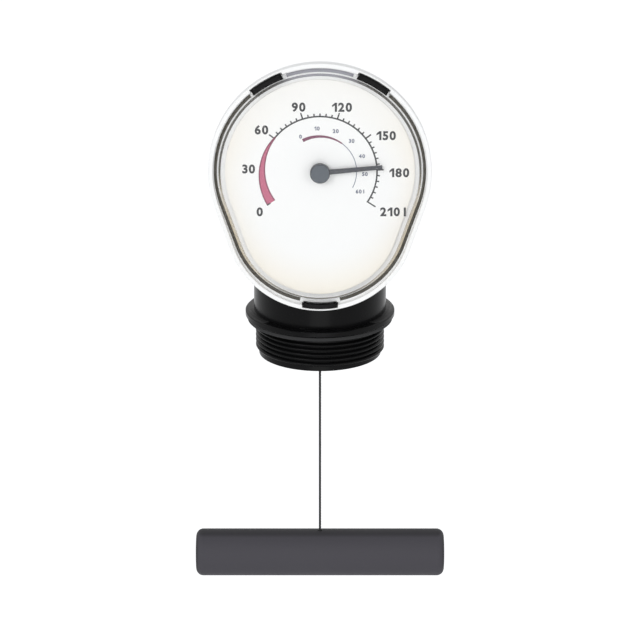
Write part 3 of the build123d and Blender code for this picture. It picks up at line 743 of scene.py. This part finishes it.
def cover_section(sizes):
    """The cover's section: each step's offset from the outline, its depth and the finish of the next band.

    Returns the steps, and how many of them lie on the outside.
    """
    back, front = -COVER_HIGH.y, -COVER_LOW.y
    flange_front = back + sizes.flange_thickness
    back += sizes.cover_lift
    wall_out = -sizes.flange_width
    wall_in = wall_out - sizes.wall
    inside_front = front - sizes.wall
    corner = sizes.window_corner
    inner_corner = corner - sizes.wall
    bevel, root = sizes.edge_bevel, sizes.root_bevel
    # The edge and root bands carry painted shade lines; the wall and flange bands carry a painted reflection on
    # the lower sides.
    section = [
        (0.0, back, "clear_window"),
        (0.0, flange_front - 0.5 * bevel, "clear_edge"),
        (-bevel, flange_front, "clear_flange"),
        (wall_out + root, flange_front, "clear_root"),
        (wall_out, flange_front + root, "clear_wall"),
    ]
    corner_steps = 6
    for step in range(corner_steps + 1):
        turn = 0.5 * math.pi * step / corner_steps
        finish = "clear_wall" if step < corner_steps / 2 else "clear_window"
        offset = wall_out - corner * (1 - math.cos(turn))
        section.append((offset, front - corner * (1 - math.sin(turn)), finish))
    outside = len(section)
    for step in range(corner_steps + 1):
        turn = 0.5 * math.pi * (1 - step / corner_steps)
        offset = wall_in - inner_corner * (1 - math.cos(turn))
        section.append((offset, inside_front - inner_corner * (1 - math.sin(turn)), "clear_window"))
    section.append((wall_in, back, "clear_window"))
    return section, outside


def notched_at(sizes, point, hooks):
    """Whether a point of the outline lies in a hook's notch."""
    reach = sizes.notch_half_width
    away = [(point - place, along) for place, along in hooks]
    return any(gap.length < 2 * reach and abs(gap.dot(along)) < reach for gap, along in away)


def cover_points(sizes, section, stations, in_notch):
    """The cover's points, one ring of the outline for each step of its section."""
    points = []
    for step, (offset, depth, _) in enumerate(section):
        for (point, normal), notched in zip(stations, in_notch):
            # The edge's bevel, which carries the painted shade line, grows towards the foot, where the tray's lip
            # hides part of it.
            growth = sizes.foot_bevel * max(0.0, -normal.z) if step == BEVEL_STEP else 0.0
            shift = offset * (1 + growth)
            if notched:
                shift = min(shift, -sizes.notch_depth)
            place = point + normal * shift
            points.append(Vector((place.x, -depth, place.z)))
    return points


def cover_faces(section, outside, in_notch):
    """The cover's faces and their finishes; the window's front and back are one face each."""
    count = len(in_notch)
    faces, finishes = [], []
    for step, (_, _, band) in enumerate(section):
        if step == outside - 1:
            continue
        near, far = step * count, (step + 1) % len(section) * count
        for side in range(count):
            beside = (side + 1) % count
            # In a hook's notch the painted shade line gives way to the clear window.
            cut_back = band == "clear_edge" and (in_notch[side] or in_notch[beside])
            faces.append((near + side, near + beside, far + beside, far + side))
            finishes.append(COVER_FINISHES.index("clear_window" if cut_back else band))
    for step in (outside - 1, outside):
        faces.append(tuple(range(step * count, (step + 1) * count)))
        finishes.append(COVER_FINISHES.index("clear_window"))
    return faces, finishes


class GAUGE_OT_cover(bpy.types.Operator):
    """Form the clear cover with its flange, wall and window"""

    bl_idname = "gauge.cover"
    bl_label = "Clear cover"

    def execute(self, context):
        sizes = context.scene.gauge_sizes
        stations, drop = egg_stations(sizes)
        hooks = hook_points(sizes, drop)
        in_notch = [notched_at(sizes, point, hooks) for point, _ in stations]
        section, outside = cover_section(sizes)
        points = cover_points(sizes, section, stations, in_notch)
        faces, finishes = cover_faces(section, outside, in_notch)
        piece = mesh_object("cover_moulding", points, faces, COVER_FINISHES, finishes, smooth=True)
        piece.data.set_sharp_from_angle(angle=math.radians(35))
        attach(piece, ROOT)
        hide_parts("clear_cover")
        return {"FINISHED"}


# ---- Dial print ----


def tick_tree():
    """Geometry Nodes that set equal ticks on a circle in the dial's plane."""
    tree = bpy.data.node_groups.new("Dial ticks", "GeometryNodeTree")
    face = tree.interface
    face.new_socket(name="Geometry", in_out="OUTPUT", socket_type="NodeSocketGeometry")
    kinds = {"Count": "Int", "Centre": "Vector", "Material": "Material"}
    for label in ("Count", "Start", "Step", "Radius", "Length", "Width", "Thickness", "Centre", "Material"):
        kind = "NodeSocket" + kinds.get(label, "Float")
        face.new_socket(name=label, in_out="INPUT", socket_type=kind)
    given = tree.nodes.new("NodeGroupInput").outputs
    result = tree.nodes.new("NodeGroupOutput")
    index = tree.nodes.new("GeometryNodeInputIndex").outputs[0]
    turn = math_node(tree, "ADD", given["Start"], math_node(tree, "MULTIPLY", index, given["Step"]))
    middle = math_node(tree, "ADD", given["Radius"], math_node(tree, "MULTIPLY", given["Length"], 0.5))
    across = math_node(tree, "MULTIPLY", middle, math_node(tree, "COSINE", turn))
    up = math_node(tree, "MULTIPLY", middle, math_node(tree, "SINE", turn))
    place = new_node(tree, "ShaderNodeCombineXYZ", X=across, Z=up).outputs[0]
    moved = vector_math(tree, "ADD", place, given["Centre"])
    spots = new_node(tree, "GeometryNodePoints", Count=given["Count"], Position=moved)
    size = new_node(tree, "ShaderNodeCombineXYZ", X=given["Length"], Y=given["Thickness"], Z=given["Width"])
    bar = new_node(tree, "GeometryNodeMeshCube", Size=size.outputs[0])
    spin = new_node(tree, "ShaderNodeCombineXYZ", Y=math_node(tree, "MULTIPLY", turn, -1.0))
    copies = new_node(
        tree,
        "GeometryNodeInstanceOnPoints",
        Points=spots.outputs[0],
        Instance=bar.outputs["Mesh"],
        Rotation=spin.outputs[0],
    )
    real = new_node(tree, "GeometryNodeRealizeInstances", Geometry=copies.outputs[0])
    coat = new_node(tree, "GeometryNodeSetMaterial", Geometry=real.outputs[0], Material=given["Material"])
    put(tree, result.inputs[0], coat.outputs[0])
    return tree


def ticks(name, tree, **values):
    """Runs the tick tree and returns its result as a plain mesh."""
    carrier = place_object(name + "_source", bpy.data.meshes.new(name + "_source"))
    modifier = carrier.modifiers.new("Ticks", "NODES")
    modifier.node_group = tree
    for item in tree.interface.items_tree:
        if item.item_type == "SOCKET" and item.in_out == "INPUT":
            modifier[item.identifier] = values[item.name]
    return place_object(name, plain_mesh(carrier))


def arc_band(name, material, start, end, inner, outer, thickness, steps):
    """A printed band on a circle, whose two edges may vary along it."""
    back = -DIAL_LOW.y
    points = []
    for step in range(steps + 1):
        share = step / steps
        turn = start + (end - start) * share
        low, high = inner(share), outer(share)
        for radius, front in ((low, back), (high, back), (high, back + thickness), (low, back + thickness)):
            points.append(dial_point(radius, turn, front))
    return mesh_object(name, points, tube_faces(steps + 1, 4), [material])


def glyph(character, size, bold):
    """One character as a flat-lying mesh, with its width; a figure one gets its flag."""
    curve = bpy.data.curves.new("glyph", "FONT")
    curve.body = character
    curve.size = size
    curve.offset = bold
    curve.resolution_u = 4
    mesh = plain_mesh(place_object("glyph", curve))
    work = bmesh.new()
    work.from_mesh(mesh)
    bpy.data.meshes.remove(mesh)
    left = min(vertex.co.x for vertex in work.verts)
    right = max(vertex.co.x for vertex in work.verts)
    top = max(vertex.co.y for vertex in work.verts)
    if character == "1":
        # The flag's reach, fall and thickness follow the stem's width.
        stem = right - left
        reach = 1.3 * stem
        tip, foot = top - 0.9 * reach, top - 1.25 * stem
        corners = ((left, top), (left - reach, tip), (left - reach, tip - 0.9 * stem), (left, foot))
        work.faces.new([work.verts.new((x, y, 0.0)) for x, y in corners])
        left -= reach
    bmesh.ops.translate(work, verts=work.verts, vec=(-left, 0.0, 0.0))
    return work, right - left


def number(text, place, height, thickness, material):
    """A printed number, upright in the dial's plane and centred on a place."""
    # Shares of the type size: a digit's height, the gaps, a space, and how much bolder the digits are.
    digit, gap, space, bold = 0.73, 0.10, 0.22, 0.040
    size = height / digit
    joined = bpy.data.meshes.new("number_" + text.replace(" ", "_"))
    whole = bmesh.new()
    cursor = 0.0
    for character in text:
        if character == " ":
            cursor += space * size
            continue
        work, width = glyph(character, size, bold=bold * size)
        bmesh.ops.translate(work, verts=work.verts, vec=(cursor, 0.0, 0.0))
        work.to_mesh(joined)
        whole.from_mesh(joined)
        work.free()
        cursor += width + gap * size
    total = cursor - gap * size
    bmesh.ops.remove_doubles(whole, verts=whole.verts, dist=0.01 * MM)
    # A digit's outline can cross itself, which leaves a sliver as a third face on an edge.
    crowded = [edge.link_faces for edge in whole.edges if len(edge.link_faces) > 2]
    slivers = {min(faces, key=lambda face: face.calc_area()) for faces in crowded}
    bmesh.ops.delete(whole, geom=list(slivers), context="FACES")
    bmesh.ops.recalc_face_normals(whole, faces=whole.faces)
    flat = bmesh.ops.extrude_face_region(whole, geom=whole.faces[:])
    raised = [item for item in flat["geom"] if isinstance(item, bmesh.types.BMVert)]
    bmesh.ops.translate(whole, verts=raised, vec=(0.0, 0.0, thickness))
    bmesh.ops.recalc_face_normals(whole, faces=whole.faces)
    # Upright in the dial's plane: the text's height becomes Z, its rise comes towards the reader.
    bmesh.ops.translate(whole, verts=whole.verts, vec=(-total / 2, -height / 2, 0.0))
    bmesh.ops.rotate(whole, verts=whole.verts, cent=(0, 0, 0), matrix=Matrix.Rotation(math.pi / 2, 3, "X"))
    bmesh.ops.translate(whole, verts=whole.verts, vec=(place.x, DIAL_LOW.y, place.z))
    whole.to_mesh(joined)
    whole.free()
    joined.materials.append(bpy.data.materials[material])
    return place_object(joined.name, joined)


class GAUGE_OT_main_scale(bpy.types.Operator):
    """Print the main scale: its line, ticks and numbers"""

    bl_idname = "gauge.main_scale"
    bl_label = "Main scale"

    def execute(self, context):
        dial = context.scene.gauge_dial
        thick = dial.print_thickness
        tree = tick_tree()
        per_litre = -dial.sweep / FULL_SCALE
        outer = dial.arc_radius + dial.arc_width
        # The line starts under the low mark's thin end.
        line = arc_band(
            "scale_line",
            "black_ink",
            dial.start + per_litre * (LOW_MARK_END - 6),
            dial.start + per_litre * FULL_SCALE - 0.5 * dial.tick_width / dial.arc_radius,
            lambda share: dial.arc_radius,
            lambda share: outer,
            thick,
            120,
        )
        parts = [line]
        short_from = LOW_MARK_END + dial.minor_step
        overlap = 0.1 * MM
        root = outer - overlap
        # The dark dot at the foot of the low mark stands proud of the mark's own face.
        proud = 2 * thick
        dot_root = outer - dial.mark_inset + dial.mark_width - dial.zero_tick
        # Name, first tick in litres, litres to the next, number of ticks, length, height and foot radius.
        for name, first, step, count, size, height, foot in (
            ("short_ticks", short_from, dial.minor_step, None, dial.minor_tick, thick, root),
            ("long_ticks", LOW_MARK_END, dial.major_step, None, dial.major_tick, thick, root),
            ("end_tick", FULL_SCALE, 0.0, 1, dial.end_tick, thick, root),
            ("zero_tick", 0.0, 0.0, 1, dial.zero_tick, proud, dot_root),
        ):
            parts.append(
                ticks(
                    name,
                    tree,
                    Count=count or int((FULL_SCALE - first) / step),
                    Start=dial.start + per_litre * first,
                    Step=per_litre * step,
                    Length=size,
                    Width=dial.tick_width,
                    Thickness=height,
                    Centre=(HUB.x, DIAL_LOW.y - height / 2, HUB.z),
                    Material=bpy.data.materials["black_ink"],
                    Radius=foot,
                )
            )
        for litres, (radius, degrees) in NUMBER_PLACES.items():
            text = f"{litres} l" if litres == FULL_SCALE else str(litres)
            place = dial_point(radius * MM, math.radians(degrees), 0.0)
            parts.append(number(text, place, dial.number_height, thick, "black_ink"))
        attach(join("main_scale_print", parts), ROOT)
        return {"FINISHED"}


class GAUGE_OT_low_mark(bpy.types.Operator):
    """Print the red low-level mark on the main scale"""

    bl_idname = "gauge.low_mark"
    bl_label = "Low-level mark"

    def execute(self, context):
        dial = context.scene.gauge_dial
        thick = dial.print_thickness
        # The mark's thin end runs a little past its last litre.
        end = dial.start - dial.sweep * (LOW_MARK_END + 2.0) / FULL_SCALE
        edge, taper = 0.55 * MM, 0.9
        proud = thick + 0.7 * thick

        def inner_edge(share):
            return dial.arc_radius - dial.mark_inset * (1 - share)

        def outer_edge(share):
            return inner_edge(share) + dial.arc_width + dial.mark_width * (1 - share) ** taper

        def inner_line(share):
            return inner_edge(share) + edge

        def outer_line(share):
            return max(outer_edge(share) - edge, inner_edge(share))

        bands = [
            arc_band(name, material, dial.start, end, inner, outer, height, 60)
            for name, material, inner, outer, height in (
                ("mark", "red_ink", inner_edge, outer_edge, thick),
                ("mark_inside", "red_line_ink", inner_edge, inner_line, proud),
                ("mark_outside", "red_line_ink", outer_line, outer_edge, proud),
            )
        ]
        attach(join("low_mark_print", bands), ROOT)
        return {"FINISHED"}


class GAUGE_OT_fine_scale(bpy.types.Operator):
    """Print the small scale inside the main one"""

    bl_idname = "gauge.fine_scale"
    bl_label = "Small scale"

    def execute(self, context):
        dial = context.scene.gauge_dial
        thick = dial.print_thickness
        half_line = 0.16 * MM
        inner, outer = dial.fine_radius - half_line, dial.fine_radius + half_line
        start, end = dial.fine_start, dial.fine_start - dial.fine_sweep
        low_end = start - dial.fine_sweep * FINE_LOW_MARK_END / FINE_SCALE
        # How far the red mark passes the line on either side, at its thin end, and how much more at zero.
        inside, outside = 0.15 * MM, 0.10 * MM
        more_inside, more_outside = 0.45 * MM, 0.50 * MM

        def mark_inner(share):
            return inner - inside - more_inside * (1 - share)

        def mark_outer(share):
            return outer + outside + more_outside * (1 - share)

        line = arc_band(
            "small_line", "fine_ink", low_end, end, lambda share: inner, lambda share: outer, thick, 70
        )
        low = arc_band("small_low_mark", "fine_red_ink", start, low_end, mark_inner, mark_outer, thick, 50)
        parts = [line, low]
        for litres in range(0, int(FINE_SCALE) + 1, 10):
            text = f"{litres} l" if litres == FINE_SCALE else str(litres)
            turn = start - dial.fine_sweep * litres / FINE_SCALE
            place = dial_point(dial.fine_number_radius - (0 if litres else dial.fine_zero_inset), turn, 0.0)
            parts.append(number(text, place, dial.fine_number_height, thick, "fine_ink"))
        attach(join("small_scale_print", parts), ROOT)
        return {"FINISHED"}


# ---- Pieces that keep their CAD form ----


OUTER_FINISHES = {
    "dial_tray": "white_moulding",
    "dial_plate": "dial_face",
    "pointer": "pointer_lacquer",
    "seal_ring": "seal_moulding",
    "cord_guide": "acetal_moulding",
    "float": "float_foam",
    "cord_stop": "bright_steel",
}
INNER_FINISHES = {
    "black_plastic": "black_moulding",
    "acetal": "acetal_moulding",
    "brass": "turned_brass",
    "steel": "bright_steel",
    "cord": "cord_fibre",
}


class GAUGE_OT_head_parts(bpy.types.Operator):
    """Finish the tray, dial plate, pointer, seal, cord guide, float and cord stop"""

    bl_idname = "gauge.head_parts"
    bl_label = "Outer parts"

    def execute(self, context):
        for node, material in OUTER_FINISHES.items():
            paint(node, material)
        return {"FINISHED"}


class GAUGE_OT_movement(bpy.types.Operator):
    """Finish the movement inside the case"""

    bl_idname = "gauge.movement"
    bl_label = "Movement"

    def execute(self, context):
        slots = {part["node"]: part["material_slot"] for part in frame["record"]["subparts"]}
        replaced = {"housing", "clear_cover", "hanging_cord"}
        for node in sorted(set(frame["nodes"]) - set(OUTER_FINISHES) - replaced):
            paint(node, INNER_FINISHES[slots[node]])
        return {"FINISHED"}


# ---- Cord ----


def cord_line(control):
    """The hanging cord's smooth line, read from a NURBS curve with these control points."""
    curve = bpy.data.curves.new("cord_line", "CURVE")
    curve.dimensions = "3D"
    curve.resolution_u = 220
    spline = curve.splines.new("NURBS")
    spline.points.add(len(control) - 1)
    for point, place in zip(spline.points, control):
        point.co = (*place, 1.0)
    spline.order_u = 3
    spline.use_endpoint_u = True
    mesh = plain_mesh(place_object("cord_line", curve))
    line = [vertex.co.copy() for vertex in mesh.vertices]
    bpy.data.meshes.remove(mesh)
    return line


class GAUGE_OT_cord(bpy.types.Operator):
    """Lay up the hanging cord from three strands"""

    bl_idname = "gauge.cord"
    bl_label = "Hanging cord"

    def execute(self, context):
        sizes = context.scene.gauge_sizes
        radius = (CORD_HIGH.x - CORD_LOW.x) / 2
        top = Vector((0.0, 0.0, CORD_HIGH.z))
        bottom = Vector((0.0, 0.0, CORD_LOW.z))
        # The line's inner control points lie six diameters from its ends.
        lead = Vector((0.0, 0.0, 12 * radius))
        line = cord_line((top, top - lead, bottom + lead, bottom))
        strands = 3
        strand_radius = radius / (1 + 2 / math.sqrt(3))
        strand_circle = radius - strand_radius
        sides = 24
        points, run = [], 0.0
        for step, spot in enumerate(line):
            run += (spot - line[step - 1]).length if step else 0.0
            lay = 2 * math.pi * run / sizes.cord_lay
            for side in range(sides):
                turn = 2 * math.pi * side / sides
                # Distance out to the nearest strand's surface in this direction.
                off = (turn - lay) % (2 * math.pi / strands) - math.pi / strands
                reach = strand_circle * math.cos(off)
                reach += math.sqrt(max(strand_radius**2 - (strand_circle * math.sin(off)) ** 2, 0.0))
                points.append(spot + Vector((reach * math.cos(turn), reach * math.sin(turn), 0.0)))
        faces = tube_faces(len(line), sides)
        piece = mesh_object("hanging_cord_lay", points, faces, ["cord_fibre"], smooth=True)
        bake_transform(piece)
        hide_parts("hanging_cord")
        return {"FINISHED"}


# ---- Stage ----


def white_for_camera(tree, output, dark, light):
    """Shows the second of two shaders to the camera, gloss and clear plastic, and the first to the rest."""
    rays = tree.nodes.new("ShaderNodeLightPath").outputs
    seen = math_node(tree, "MAXIMUM", rays["Is Camera Ray"], rays["Is Glossy Ray"])
    seen = math_node(tree, "MAXIMUM", seen, rays["Is Transmission Ray"])
    mix = tree.nodes.new("ShaderNodeMixShader")
    for socket, value in zip(mix.inputs, (seen, dark, light)):
        put(tree, socket, value)
    put(tree, tree.nodes[output].inputs["Surface"], mix.outputs[0])


def aim_at(thing, place, target):
    """Stands a lamp or the camera at a place, turned towards a target."""
    thing.location = place
    thing.rotation_mode = "QUATERNION"
    thing.rotation_quaternion = (Vector(target) - Vector(place)).to_track_quat("-Z", "Y")


def soft_lamp(name, place, target, size, watts):
    """A square area lamp."""
    data = bpy.data.lights.new(name, "AREA")
    data.shape = "SQUARE"
    data.size = size
    data.energy = watts
    aim_at(place_object(name, data), place, target)


def stand_camera(stage, dial_centre, aim):
    """Stands the camera in front of the dial, with the field's height round the gauge."""
    back = Vector((0.0, -math.cos(stage.elevation), math.sin(stage.elevation)))
    place = dial_centre + back * stage.distance
    data = bpy.data.cameras.new("gauge_camera")
    half_angle = math.atan(stage.field / 2 / (place - aim).length)
    data.lens = data.sensor_width / 2 / math.tan(half_angle)
    camera = place_object("gauge_camera", data)
    aim_at(camera, place, aim)
    bpy.context.scene.camera = camera


def light_room(strength):
    """Lights the gauge from all round, and shows white behind it."""
    world = bpy.data.worlds.new("studio")
    bpy.context.scene.world = world
    world.use_nodes = True
    tree = world.node_tree
    room = tree.nodes["Background"]
    feed(tree, room, Color=(0.96, 0.98, 1.0), Strength=strength)
    white = new_node(tree, "ShaderNodeBackground", Color=WHITE)
    white_for_camera(tree, "World Output", room.outputs[0], white.outputs[0])


def lay_floor(level):
    """Lays a pale square floor, which the camera sees a little brighter."""
    half = FLOOR_SIDE / 2
    corners = ((-half, -half), (half, -half), (half, half), (-half, half))
    mesh = bpy.data.meshes.new("studio_floor")
    mesh.from_pydata([(x, y, level) for x, y in corners], [], [(0, 1, 2, 3)])
    material, tree, shader = principled("pale_floor")
    feed(tree, shader, Base_Color=(0.86, 0.86, 0.86), Roughness=0.8)
    bright = new_node(tree, "ShaderNodeEmission", Color=WHITE, Strength=0.56)
    add = tree.nodes.new("ShaderNodeAddShader")
    put(tree, add.inputs[0], shader.outputs[0])
    put(tree, add.inputs[1], bright.outputs[0])
    white_for_camera(tree, "Material Output", shader.outputs[0], add.outputs[0])
    mesh.materials.append(material)
    return place_object("studio_floor", mesh)


class GAUGE_OT_stage(bpy.types.Operator):
    """Set up the camera, lamps, room and floor"""

    bl_idname = "gauge.stage"
    bl_label = "Stage"

    def execute(self, context):
        stage = context.scene.gauge_stage
        aim = Vector((0.0, (cad_low.y + cad_high.y) / 2, (cad_low.z + cad_high.z) / 2))
        dial_centre = Vector((HUB.x, DIAL_LOW.y, HUB.z))
        stand_camera(stage, dial_centre, aim)
        soft_lamp("key_lamp", (-0.9, -1.5, 0.9), dial_centre, 0.9, stage.key_power)
        soft_lamp("fill_lamp", (1.2, -1.3, 0.5), dial_centre, 0.9, stage.fill_power)
        soft_lamp("low_lamp", (0.0, -1.4, -0.3), aim, 0.8, stage.low_power)
        light_room(stage.room_light)
        floor = lay_floor(FLOAT_LOW.z + SLIDE_RANGE[0] - stage.floor_gap)
        context.scene.view_settings.view_transform = "Standard"
        return {"FINISHED"}


# ---- Panel and registration ----

STEPS = (
    GAUGE_OT_stage,
    GAUGE_OT_materials,
    GAUGE_OT_cord,
    GAUGE_OT_housing,
    GAUGE_OT_thread,
    GAUGE_OT_cover,
    GAUGE_OT_head_parts,
    GAUGE_OT_main_scale,
    GAUGE_OT_low_mark,
    GAUGE_OT_fine_scale,
    GAUGE_OT_movement,
)


class GAUGE_PT_panel(bpy.types.Panel):
    """Lists the gauge's sizes, colours and steps"""

    bl_idname = "GAUGE_PT_panel"
    bl_label = "Level gauge"
    bl_space_type = "VIEW_3D"
    bl_region_type = "UI"
    bl_category = "Level gauge"

    def draw(self, context):
        layout = self.layout
        for setting, kind in SETTINGS.items():
            box = layout.box()
            box.label(text=kind.__doc__)
            for name in kind.__annotations__:
                box.prop(getattr(context.scene, setting), name)
        for step in STEPS:
            layout.operator(step.bl_idname)


SETTINGS = {
    "gauge_finish": GaugeFinish,
    "gauge_sizes": GaugeSizes,
    "gauge_dial": GaugeDial,
    "gauge_stage": GaugeStage,
}
CLASSES = (*SETTINGS.values(), *STEPS, GAUGE_PT_panel)


def register():
    """Registers the classes and hangs the settings on the scene."""
    for item in CLASSES:
        bpy.utils.register_class(item)
    for setting, kind in SETTINGS.items():
        setattr(bpy.types.Scene, setting, PointerProperty(type=kind))


def unregister():
    """Takes the settings and the classes away again."""
    for setting in SETTINGS:
        delattr(bpy.types.Scene, setting)
    for item in reversed(CLASSES):
        bpy.utils.unregister_class(item)


def main():
    """Builds the whole gauge."""
    register()
    bpy.ops.gauge.stage()
    bpy.ops.gauge.materials()
    bpy.ops.gauge.cord()
    bpy.ops.gauge.housing()
    bpy.ops.gauge.thread()
    bpy.ops.gauge.cover()
    bpy.ops.gauge.head_parts()
    bpy.ops.gauge.main_scale()
    bpy.ops.gauge.low_mark()
    bpy.ops.gauge.fine_scale()
    bpy.ops.gauge.movement()


if __name__ == "__main__":
    main()
